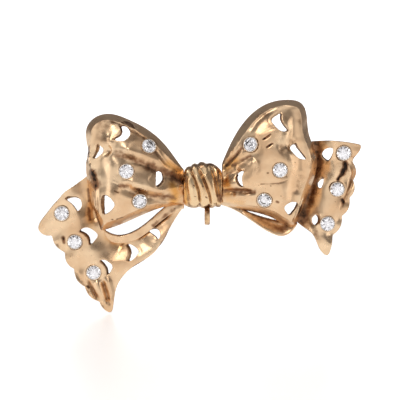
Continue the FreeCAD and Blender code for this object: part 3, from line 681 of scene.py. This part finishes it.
rightTail = {
    "voxel": 0.12,
    "wear": 5,
    "burnish": 70,
    "flats": [((23.4, -1.6), 2.4, 300), ((24.6, 6.0), 2.0, 200), ((22.8, -9.6), 1.4, 200)],
    "strokes": [
        ([(21.0, 8.9), (21.0, 5.3), (20.4, 1.8), (19.5, -1.3), (18.4, -5.0)], 1.2, 0.55),
        ([(27.5, 5.2), (27.9, 3.4), (27.4, 1.2), (26.4, -1.2), (25.4, -3.4)], 0.32, 0.35),
        ([(27.0, 5.0), (27.2, 3.2), (26.7, 1.0), (25.8, -1.2)], 0.4, -0.15),
        ([(22.7, -8.2), (22.9, -11.6)], 1.1, -0.12),
        ([(26.3, 4.9), (26.0, 3.9), (25.5, 3.0), (24.8, 2.1)], 0.25, 0.25),
    ],
    "pulls": [((22.0, 6.8), 0.7, (-0.15, 0.0))],
    "piercings": [
        ((23.2, 6.9), 1.9, (0.2, 0.3)),
        ((21.8, 1.4), 1.6, (0.4, -0.4)),
        ((20.6, -5.4), 1.6, (-0.5, 0.0)),
    ],
    # painted shade in the recess beside the loop and in the slits, with stains of dirt
    "shadeAndStains": [
        ([(21.0, 9.2), (21.0, 5.3), (20.4, 1.8), (19.5, -1.3), (18.2, -5.4)], 1.3, 0.92),
        ([(19.2, -4.0), (20.6, -7.4), (21.4, -9.4)], 0.6, 0.5),
        ([(26.15, 5.1), (26.1, 4.2), (25.7, 3.3)], 0.6, 1.2),
        ([(25.5, 3.2), (24.8, 2.1)], 0.36, 1.2),
        ([(25.7, -1.8), (25.9, -2.1)], 0.48, 1.2),
        ([(27.5, 5.2), (27.9, 3.4), (27.4, 1.2), (26.4, -1.2), (25.4, -3.4)], 0.3, 0.5),
    ],
    # painted warm glow, a painted reflection of red gold, beside the loop
    "paintedGlows": [([(20.9, 9.0), (20.9, 5.3), (20.2, 1.8), (19.2, -1.3), (18.2, -5.0)], 1.6, 0.35)],
}


def makeTail(node, name, plan, seed):
    tail = nodeCopy(node, name)
    softened(tail, plan["voxel"], plan["wear"])
    calmed(tail, plan["burnish"], plan["flats"])
    slanted(tail, plan["piercings"])
    eased(tail, plan["pulls"])
    tooled(tail, plan["strokes"])
    hammered(tail, *hammering["tail"], seed)
    markTarnishAndShade(tail, plan["piercings"], stoneSpots(node), plan["shadeAndStains"], plan["paintedGlows"], rim=tailEdgeShade)
    finishPiece(tail, ribbonGold, "ribbon_gold", node)


makeTail("left_tail", "left_tail_sheet", leftTail, 0.9)
makeTail("right_tail", "right_tail_sheet", rightTail, 2.9)
print("tails done")


# knot

knotPlan = {
    "voxel": 0.1,
    "wear": 14,
    "burnish": 320,
    # painted shade in the grooves between the turns
    "paintedGrooveShade": 0.6,
    "hollow": 0.1,
    "turns": [  # the crown of each turn across the front, half width, height
        ([(-2.9, 3.4), (-2.4, 0.8), (-1.8, -2.4)], 0.62, -0.34),
        ([(-2.0, 4.2), (-0.6, 1.0), (0.6, -2.8)], 0.6, -0.36),
        ([(-0.2, 4.4), (1.0, 1.6), (2.0, -2.4)], 0.9, -0.42),
        ([(-3.9, 2.8), (-3.9, -1.8)], 0.3, -0.25),
        ([(3.3, 3.2), (3.3, -1.8)], 0.3, -0.25),
    ],
    "grooves": [
        ([(-3.3, 3.4), (-3.2, 0.8), (-2.7, -2.4)], 0.3, 0.25),
        ([(-2.6, 4.2), (-1.6, 2.0), (-1.0, 0.0), (-0.7, -2.6)], 0.2, 0.45),
        ([(-1.2, 4.5), (-0.1, 2.4), (1.0, -0.6), (1.4, -3.0)], 0.22, 0.5),
        ([(1.3, 4.6), (2.1, 2.2), (2.7, -1.8)], 0.3, 0.4),
    ],
    # dark pits, and painted shade along the knot's sides and its top and bottom edges
    "pits": [
        ([(-1.9, 1.1), (-1.8, 1.0)], 0.16, 0.95),
        ([(-0.3, 1.0), (-0.2, 0.9)], 0.16, 0.95),
        ([(0.3, -1.0), (0.6, -1.2)], 0.13, 0.8),
        ([(-1.8, -0.9), (-1.5, -0.95)], 0.1, 0.6),
        ([(-3.4, 2.9), (-3.4, 1.8)], 0.35, 0.75),
        ([(2.5, 3.8), (2.9, 1.6), (3.0, -1.8)], 0.4, 0.75),
        ([(-3.0, 4.6), (0.0, 5.1), (2.6, 4.7)], 0.8, 0.6),
        ([(-2.6, -3.0), (0.0, -3.6), (2.8, -3.0)], 0.7, 0.6),
    ],
    # painted warm glow, a painted reflection of red gold, on the knot's sides
    "paintedGlows": [([(-3.4, 2.4), (-3.3, -2.0)], 0.55, 0.95), ([(2.6, 3.6), (2.9, -1.6)], 0.45, 0.8)],
}
knot = nodeCopy("knot", "wound_knot")
softened(knot, knotPlan["voxel"], knotPlan["wear"])
calmed(knot, knotPlan["burnish"])
# only the front of the knot takes the turns and grooves
facing = np.clip(-readNormals(knot)[:, 1:2] * 2, 0, 1)
smoothKnot = readPoints(knot)
tooled(knot, knotPlan["turns"] + knotPlan["grooves"])
writePoints(knot, smoothKnot + (readPoints(knot) - smoothKnot) * facing)
# painted shade in the grooves, joined with the pits and the painted shade of the edges
grooveShadeLines = [(line, width, knotPlan["paintedGrooveShade"]) for line, width, _ in knotPlan["grooves"]]
knotShadeAndPits = grooveShadeLines + knotPlan["pits"]
markTarnishAndShade(knot, shadeAndStains=knotShadeAndPits, paintedGlows=knotPlan["paintedGlows"], hollow=knotPlan["hollow"])
finishPiece(knot, knotGold, "knot_gold", "knot")
print("knot wound")


# pendant eyelet

eyeletPlan = {
    "voxel": 0.07,
    "wear": 3,
    # painted shade where the eyelet runs under the knot, fainter further down
    "shadeAndStains": [([(0.6, -2.6), (0.6, -3.6)], 0.7, 0.8), ([(0.6, -3.8), (0.6, -6.4)], 0.9, 0.38)],
    "hollow": 0.05,
    # painted shade on the side walls
    "rim": 0.5,
}
eyelet = nodeCopy("pendant_eyelet", "worn_eyelet")
softened(eyelet, eyeletPlan["voxel"], eyeletPlan["wear"])
markTarnishAndShade(eyelet, shadeAndStains=eyeletPlan["shadeAndStains"], hollow=eyeletPlan["hollow"], rim=eyeletPlan["rim"])
finishPiece(eyelet, knotGold, "fittings_gold", "pendant_eyelet")
print("eyelet worn")


# collets and stones

setting = {
    "stone": 1.27,
    "table": 0.54,  # these three are shares of the stone's radius
    "star": 0.76,
    "lowerHalf": 0.24,
    "crownAngle": 34.5,
    "pavilionAngle": 40.8,
    "girdle": 0.05,
    "girdleMiddle": 0.05,  # above the sheet
    "culetDrop": 1.0159,  # from the seat down to the frame's culet
    "rim": [  # radius and height of the tube's section, from its foot outside to its foot inside
        (1.40, -1.90), (1.40, -0.30), (1.405, 0.02), (1.40, 0.08), (1.37, 0.125), (1.32, 0.14),
        (1.27, 0.125), (1.24, 0.10), (1.245, 0.08), (1.28, 0.075), (1.28, 0.01),
        (0.76, -0.42), (0.76, -1.90),
    ],
    "sides": 84,
    "grains": 21,  # small beads round the lip
    "grainDepth": 0.03,
    "grainSwell": 0.018,
    "lipHeight": 0.08,
    "turn": 1.3,  # each stone is turned this much more than the one before
}


def tubeCollet(name):
    # the rim's section spun once round
    clearSelection()
    mesh = bpy.data.meshes.new(name)
    piece = bpy.data.objects.new(name, mesh)
    bpy.context.scene.collection.objects.link(piece)
    section = [(r * mm, 0, h * mm) for r, h in setting["rim"]]
    edges = [(i, (i + 1) % len(section)) for i in range(len(section))]
    mesh.from_pydata(section, edges, [])
    pick(piece)
    bpy.ops.object.mode_set(mode="EDIT")
    bpy.ops.mesh.select_all(action="SELECT")
    bpy.ops.mesh.spin(steps=setting["sides"], angle=2 * math.pi, center=(0, 0, 0), axis=(0, 0, 1))
    bpy.ops.mesh.select_all(action="SELECT")
    bpy.ops.mesh.remove_doubles(threshold=0.000002)
    bpy.ops.mesh.normals_make_consistent(inside=False)
    bpy.ops.object.mode_set(mode="OBJECT")
    points = readPoints(piece)
    angle = np.arctan2(points[:, 1], points[:, 0])
    lip = np.clip(points[:, 2] / setting["lipHeight"], 0, 1)
    points[:, 2] += lip * setting["grainDepth"] * np.cos(setting["grains"] * angle)
    points[:, :2] *= 1 + (lip * setting["grainSwell"] * np.cos(setting["grains"] * angle))[:, None]
    writePoints(piece, points)
    bpy.ops.object.shade_smooth_by_angle(angle=math.radians(40))
    return piece


def brilliant(name):
    # table, stars, kites and upper halves over a girdle, mains and lower halves under it
    radius = setting["stone"]
    crown = math.tan(math.radians(setting["crownAngle"]))
    pavilion = math.tan(math.radians(setting["pavilionAngle"]))
    top = setting["girdleMiddle"] + setting["girdle"] / 2
    bottom = setting["girdleMiddle"] - setting["girdle"] / 2

    def ring(count, r, height, turn=0.0):
        angles = [2 * math.pi * (i + turn) / count for i in range(count)]
        return [(r * math.cos(a), r * math.sin(a), height) for a in angles]

    lean = math.cos(math.pi / 8)
    tableR, starR, lowerR = (radius * setting[key] for key in ("table", "star", "lowerHalf"))
    corners = ring(8, tableR, top + (radius - tableR) * crown)
    stars = ring(8, starR, top + (radius - starR * lean) * crown, 0.5)
    upper = ring(16, radius, top)
    lower = ring(16, radius, bottom)
    lowerHalves = ring(8, lowerR, bottom - (radius - lowerR * lean) * pavilion, 0.5)
    points = corners + stars + upper + lower + lowerHalves + [(0, 0, bottom - radius * pavilion)]
    girdleStart, halvesStart, culet = 16, 48, 56  # places in the list of points
    faces = [tuple(range(8))]
    for i in range(8):
        j, before = (i + 1) % 8, (i - 1) % 8
        main, middle = girdleStart + 2 * i, girdleStart + 2 * i + 1
        following = girdleStart + (2 * i + 2) % 16
        faces += [(i, 8 + i, j), (i, 8 + before, main, 8 + i)]
        faces += [(8 + i, main, middle), (8 + i, middle, following)]
        faces += [(main, main + 16, middle + 16, middle), (middle, middle + 16, following + 16, following)]
        faces += [(main + 16, halvesStart + i, middle + 16), (middle + 16, halvesStart + i, following + 16)]
        faces += [(main + 16, halvesStart + before, culet, halvesStart + i)]
    mesh = bpy.data.meshes.new(name)
    mesh.from_pydata([(x * mm, y * mm, z * mm) for x, y, z in points], [], faces)
    piece = bpy.data.objects.new(name, mesh)
    bpy.context.scene.collection.objects.link(piece)
    pick(piece)
    bpy.ops.object.mode_set(mode="EDIT")
    bpy.ops.mesh.select_all(action="SELECT")
    bpy.ops.mesh.normals_make_consistent(inside=False)
    bpy.ops.object.mode_set(mode="OBJECT")
    return piece


def seatOf(stoneNode):
    # the stone's seat: on its axis, at the height of the sheet
    mesh = nodes[stoneNode].data
    meetings = {}
    for polygon in mesh.polygons:
        for v in polygon.vertices:
            key = tuple(round(c, 6) for c in mesh.vertices[v].co)
            meetings[key] = meetings.get(key, 0) + 1
    culet = Vector(max(meetings, key=meetings.get))  # the point where most facets meet
    rest = [Vector(p) for p in meetings if (Vector(p) - culet).length > 0.0001]
    outward = (sum(rest, Vector()) / len(rest) - culet).normalized()
    seat = culet + outward * setting["culetDrop"] * mm
    return Matrix.Translation(seat) @ outward.to_track_quat("Z", "Y").to_matrix().to_4x4()


colletMaster = tubeCollet("collet_master")
stoneMaster = brilliant("stone_master")
for index, stoneNode in enumerate(sorted(n for n in nodes if "_diamond_" in n)):
    place = seatOf(stoneNode) @ Matrix.Rotation(index * setting["turn"], 4, "Z")
    colletNode = stoneNode.replace("_diamond_", "_collet_")
    for master, node, material, slotName in (
        (colletMaster, colletNode, settingGold, "fittings_gold"),
        (stoneMaster, stoneNode, diamondLook, "diamond"),
    ):
        piece = bpy.data.objects.new(node + "_set", master.data.copy())
        bpy.context.scene.collection.objects.link(piece)
        piece.data.transform(place)
        finishPiece(piece, material, slotName, node)
for master in (colletMaster, stoneMaster):
    bpy.data.objects.remove(master)
print("stones set")


# fittings that stay as the frame has them

for node in ("back_bar", "pin_joint", "hinge_rivet", "pin_stem", "catch_housing", "catch_sleeve"):
    nodes[node].data.materials.clear()
    nodes[node].data.materials.append(fittingsGold)
print("fittings coloured")


# floor, light and camera

studio = {
    "middle": (-0.74, -7.0, -1.67),
    "frameWidth": 74.0,
    "lens": 150.0,
    "sensor": 36.0,
    "elevation": 2.0,
    "world": (0.62, 0.58, 0.58),
    "worldStrength": 0.34,
    "lights": [  # name, place and size in metres, brightness, colour
        ("front box", (0.03, -0.65, 0.02), (0.60, 0.34), 0.68, (1.0, 0.98, 0.96)),
        ("upper box", (-0.16, -0.42, 0.34), (0.26, 0.16), 4.6, (1.0, 0.97, 0.93)),
        ("top box", (0.02, -0.20, 0.55), (0.50, 0.30), 0.7, (1.0, 0.98, 0.96)),
        ("left box", (-0.50, -0.12, 0.06), (0.18, 0.45), 1.7, (1.0, 0.97, 0.94)),
        ("right box", (0.50, -0.16, 0.06), (0.18, 0.40), 1.5, (1.0, 0.97, 0.94)),
    ],
    "floorGlow": 0.5,
    "wallGlow": 0.95,
    "floorGap": 0.0002,  # the floor lies this far under the lowest point
    "floorSize": (3.0, 2.0, 1.0),
    "floorShift": (0, -0.2, 0),
    "floorBack": 0.7,  # edges past this are swept up
    "sweep": (0, 0.25, 0.1),
    "narrowing": (0.24, 1.0, 1.0),
    "wallRise": (0, 0.1, 0.5),
    "wallStart": 0.81,
}


def paleFloor():
    # a level floor that sweeps up behind into a narrow wall
    clearSelection()
    low = cadBox[0][2] - studio["floorGap"]
    bpy.ops.mesh.primitive_plane_add(size=1, location=(0, 0, low))
    floor = bpy.context.object
    floor.name = "pale_floor"
    bpy.ops.object.mode_set(mode="EDIT")
    bpy.ops.mesh.select_all(action="SELECT")
    bpy.ops.transform.resize(value=studio["floorSize"], center_override=(0, 0, low))
    bpy.ops.transform.translate(value=studio["floorShift"])
    bpy.ops.mesh.select_all(action="DESELECT")
    bpy.ops.object.mode_set(mode="OBJECT")
    depths = [(floor.matrix_world @ vertex.co).y for vertex in floor.data.vertices]
    for edge in floor.data.edges:
        edge.select = all(depths[v] > studio["floorBack"] for v in edge.vertices)
    bpy.ops.object.mode_set(mode="EDIT")
    bpy.ops.mesh.select_mode(type="EDGE")
    bpy.ops.mesh.extrude_region_move(TRANSFORM_OT_translate={"value": studio["sweep"]})
    bpy.ops.transform.resize(value=studio["narrowing"], center_override=(0, 0, 0))
    bpy.ops.mesh.extrude_region_move(TRANSFORM_OT_translate={"value": studio["wallRise"]})
    bpy.ops.object.mode_set(mode="OBJECT")
    bpy.ops.object.transform_apply(location=True, rotation=True, scale=True)
    bpy.ops.object.shade_smooth()
    for name, glow in (("pale floor", studio["floorGlow"]), ("pale wall", studio["wallGlow"])):
        material, _, shader = shaderTree(name)
        shader.inputs["Base Color"].default_value = (0.93, 0.93, 0.93, 1)
        shader.inputs["Specular IOR Level"].default_value = 0.5
        shader.inputs["Roughness"].default_value = 0.3
        shader.inputs["Emission Color"].default_value = (1, 1, 1, 1)
        shader.inputs["Emission Strength"].default_value = glow
        floor.data.materials.append(material)
    for polygon in floor.data.polygons:
        polygon.material_index = int(polygon.center.y > studio["wallStart"])


def hangLight(name, place, size, brightness, colour):
    light = bpy.data.lights.new(name, "AREA")
    light.shape = "RECTANGLE"
    light.size, light.size_y = size
    light.energy = brightness * math.pi * size[0] * size[1]
    light.color = colour
    lamp = bpy.data.objects.new(name, light)
    lamp.location = place
    aim = Vector(studio["middle"]) * mm - Vector(place)
    lamp.rotation_euler = aim.to_track_quat("-Z", "Y").to_euler()
    bpy.context.scene.collection.objects.link(lamp)


def standCamera():
    camera = bpy.data.cameras.new("camera")
    camera.lens = studio["lens"]
    camera.sensor_width = studio["sensor"]
    camera.clip_start = 0.01
    camera.clip_end = 20.0
    stand = bpy.data.objects.new("camera", camera)
    distance = studio["frameWidth"] / studio["sensor"] * studio["lens"] * mm
    tilt = math.radians(studio["elevation"])
    aim = Vector(studio["middle"]) * mm
    stand.location = aim + Vector((0, -math.cos(tilt), math.sin(tilt))) * distance
    stand.rotation_euler = (math.pi / 2 - tilt, 0, 0)
    bpy.context.scene.collection.objects.link(stand)
    bpy.context.scene.camera = stand


paleFloor()
for light in studio["lights"]:
    hangLight(*light)
world = bpy.data.worlds.new("studio")
bpy.context.scene.world = world
world.use_nodes = True
background = world.node_tree.nodes["Background"]
background.inputs["Color"].default_value = (*studio["world"], 1)
background.inputs["Strength"].default_value = studio["worldStrength"]
standCamera()
bpy.context.scene.view_settings.view_transform = "Standard"
print("studio ready")
